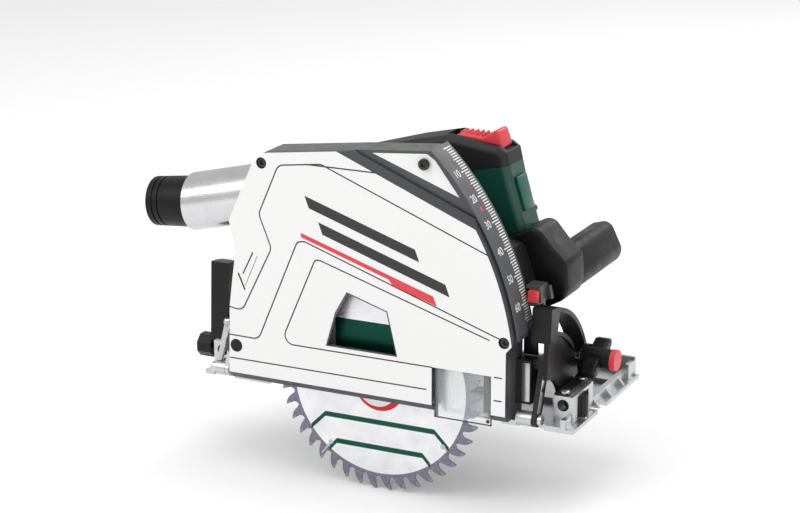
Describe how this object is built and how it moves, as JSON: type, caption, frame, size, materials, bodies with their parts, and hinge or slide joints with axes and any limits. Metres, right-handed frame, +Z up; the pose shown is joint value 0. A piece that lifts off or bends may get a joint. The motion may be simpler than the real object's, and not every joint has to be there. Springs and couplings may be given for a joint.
{
  "type": "track plunge saw",
  "caption": "Plunge-cut circular saw on a guide-rail base plate, with a tilting blade guard, curved depth scale, D-handle and dust outlet.",
  "frame": {"origin": "centre of the base plate's sole, the flat underside that runs on the work or the rail", "axes": "+X forwards along the cut, +Y from the blade towards the motor, +Z up out of the sole"},
  "size_m": [0.3568, 0.1757, 0.2678],
  "materials": {
    "cover_white": "satin",
    "guard_grey": "matte",
    "cast_alloy": "satin",
    "black_plastic": "matte",
    "black_steel": "satin",
    "steel": "brushed",
    "blade_steel": "satin",
    "carbide": "satin",
    "green_plastic": "satin",
    "red_plastic": "gloss",
    "rubber_black": "matte",
    "clear_plastic": "gloss",
    "copper": "satin",
    "scale_dark": "satin",
    "board_green": "matte",
    "bronze": "satin"
  },
  "bodies": {
    "base": {"base_plate": "cast_alloy", "hinge_knuckles": "cast_alloy", "hinge_pins": "steel", "front_quadrant": "black_plastic", "rear_quadrant": "black_plastic", "front_rod_block": "cast_alloy", "rear_rod_block": "cast_alloy", "rod_block_screws": "steel"},
    "rod_clamp": {"rod_wheel": "black_plastic"},
    "rear_rod_screw": {"rear_rod_knob": "black_plastic"},
    "guard": {"blade_cover": "cover_white", "guard_housing": "guard_grey", "depth_scale": "scale_dark", "cover_screws": "black_steel", "pivot_shaft": "black_steel", "return_spring": "steel", "front_guard_arm": "cast_alloy", "rear_guard_arm": "cast_alloy", "clamp_studs": "steel", "dust_elbow": "steel"},
    "front_bevel_knob": {"front_wing_knob": "black_plastic", "front_knob_cap": "red_plastic"},
    "rear_bevel_knob": {"rear_wing_knob": "black_plastic"},
    "sleeve": {"dust_sleeve": "rubber_black"},
    "chip_shield": {"chip_guard": "clear_plastic"},
    "stop_carriage": {"depth_stop": "guard_grey"},
    "stop_button": {"depth_stop_button": "red_plastic"},
    "plunge_unit": {"gear_housing": "cast_alloy", "gear_cover": "cast_alloy", "motor_housing": "green_plastic", "motor_cap": "black_plastic", "handle_left": "green_plastic", "handle_right": "green_plastic", "handle_screws": "black_steel", "front_handle": "rubber_black", "switch_module": "black_plastic", "control_board": "board_green", "cable_gland": "rubber_black", "stator": "copper", "brush_holders": "bronze", "bearings": "steel", "rear_bearing_plate": "black_plastic", "idler_pin": "steel"},
    "blade_set": {"saw_blade": "blade_steel", "carbide_tips": "carbide", "spindle": "steel", "inner_flange": "steel", "outer_flange": "steel", "blade_screw": "black_steel", "spindle_gear": "steel"},
    "idler": {"idler_gear": "steel"},
    "rotor": {"motor_shaft": "steel", "pinion": "steel", "rotor_core": "copper", "fan": "black_plastic"},
    "lockoff": {"lockoff_slider": "red_plastic"},
    "switch_trigger": {"trigger": "black_plastic"},
    "arbor_lock": {"spindle_lock": "black_plastic"},
    "dial": {"speed_dial": "black_plastic"}
  },
  "joints": [
    {"name": "bevel", "type": "hinge", "parent": "base", "child": "guard", "pos_m": [0, -0.07, 0.008], "axis": [1, 0, 0], "range_deg": [0, 47]},
    {"name": "plunge", "type": "hinge", "parent": "guard", "child": "plunge_unit", "pos_m": [-0.1142, -0.04, 0.0335], "axis": [0, -1, 0], "range_deg": [0, 34.2]},
    {"name": "blade_spin", "type": "hinge", "parent": "plunge_unit", "child": "blade_set", "pos_m": [0, -0.073, 0.0165], "axis": [0, -1, 0], "continuous": true},
    {"name": "idler_spin", "type": "hinge", "parent": "plunge_unit", "child": "idler", "pos_m": [-0.00428, -0.044, 0.04164], "axis": [0, -1, 0], "continuous": true},
    {"name": "rotor_spin", "type": "hinge", "parent": "plunge_unit", "child": "rotor", "pos_m": [-0.022, 0, 0.0485], "axis": [0, -1, 0], "continuous": true},
    {"name": "trigger_pull", "type": "slide", "parent": "plunge_unit", "child": "switch_trigger", "axis": [0, 0, 1], "range_m": [0, 0.005], "stiffness_N_per_m": 600, "springref_m": -0.002},
    {"name": "lockoff_slide", "type": "slide", "parent": "plunge_unit", "child": "lockoff", "axis": [1, 0, 0], "range_m": [0, 0.006], "stiffness_N_per_m": 400, "springref_m": -0.002},
    {"name": "arbor_lock_press", "type": "slide", "parent": "plunge_unit", "child": "arbor_lock", "axis": [0, 1, 0], "range_m": [0, 0.002], "stiffness_N_per_m": 800, "springref_m": -0.001},
    {"name": "speed_dial_turn", "type": "hinge", "parent": "plunge_unit", "child": "dial", "pos_m": [-0.058, 0.018, 0.083], "axis": [0, 1, 0], "range_deg": [0, 270]},
    {"name": "depth_stop_slide", "type": "hinge", "parent": "guard", "child": "stop_carriage", "pos_m": [-0.1142, -0.04, 0.0335], "axis": [0, -1, 0], "range_deg": [0, 31]},
    {"name": "depth_button_press", "type": "slide", "parent": "stop_carriage", "child": "stop_button", "axis": [0, 1, 0], "range_m": [0, 0.004], "stiffness_N_per_m": 500, "springref_m": -0.002},
    {"name": "chip_guard_lift", "type": "slide", "parent": "guard", "child": "chip_shield", "axis": [0, 0, 1], "range_m": [0, 0.005]},
    {"name": "sleeve_swivel", "type": "hinge", "parent": "guard", "child": "sleeve", "pos_m": [-0.17095, -0.061, 0.13345], "axis": [-0.9945, 0, -0.1045], "continuous": true},
    {"name": "front_bevel_knob_turn", "type": "hinge", "parent": "guard", "child": "front_bevel_knob", "pos_m": [0.14, -0.00448, 0.03786], "axis": [1, 0, 0], "range_deg": [-110, 0]},
    {"name": "rear_bevel_knob_turn", "type": "hinge", "parent": "guard", "child": "rear_bevel_knob", "pos_m": [-0.155, -0.00448, 0.03786], "axis": [1, 0, 0], "range_deg": [-110, 0]},
    {"name": "rod_clamp_turn", "type": "hinge", "parent": "base", "child": "rod_clamp", "pos_m": [0.1414, -0.036, 0.012], "axis": [0, 0, 1], "range_deg": [0, 20]},
    {"name": "rear_rod_screw_turn", "type": "hinge", "parent": "base", "child": "rear_rod_screw", "pos_m": [-0.158, -0.048, 0.0165], "axis": [1, 0, 0], "range_deg": [0, 180]}
  ],
  "couplings": [
    {"joint": "idler_spin", "follows": "blade_spin", "ratio": -1.04},
    {"joint": "rotor_spin", "follows": "blade_spin", "ratio": 2}
  ]
}
